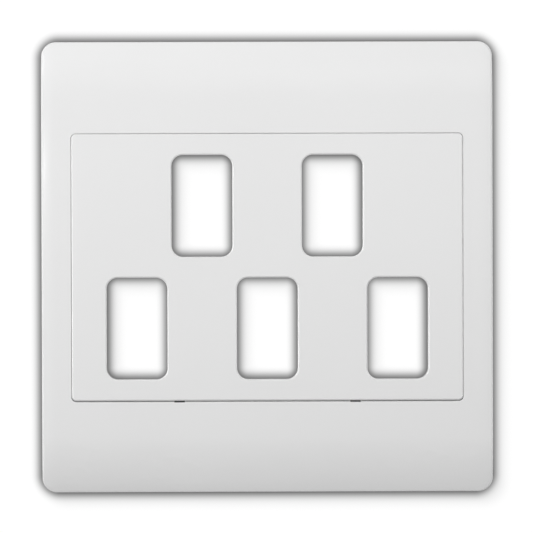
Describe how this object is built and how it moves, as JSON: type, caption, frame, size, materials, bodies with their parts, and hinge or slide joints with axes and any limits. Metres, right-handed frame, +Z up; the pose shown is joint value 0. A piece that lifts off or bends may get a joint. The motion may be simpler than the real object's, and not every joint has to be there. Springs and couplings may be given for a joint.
{
  "type": "grid switch plate",
  "caption": "Square moulded wall plate with curved top and bottom strips and a snap-in panel whose round-cornered apertures take clip-in switch modules, over hidden fixing screws.",
  "frame": {"origin": "centre of the plate's back, on the wall plane, midway between the four box screws", "axes": "+X to the right seen from the front, +Y into the wall, +Z up; the front faces -Y"},
  "size_m": [0.146, 0.0313, 0.146],
  "materials": {
    "white_plastic": "gloss moulded white",
    "screw_steel": "bright zinc plate"
  },
  "bodies": {
    "root": {"surround": "white_plastic", "fascia": "white_plastic", "fixing_screws": "screw_steel"}
  },
  "joints": []
}
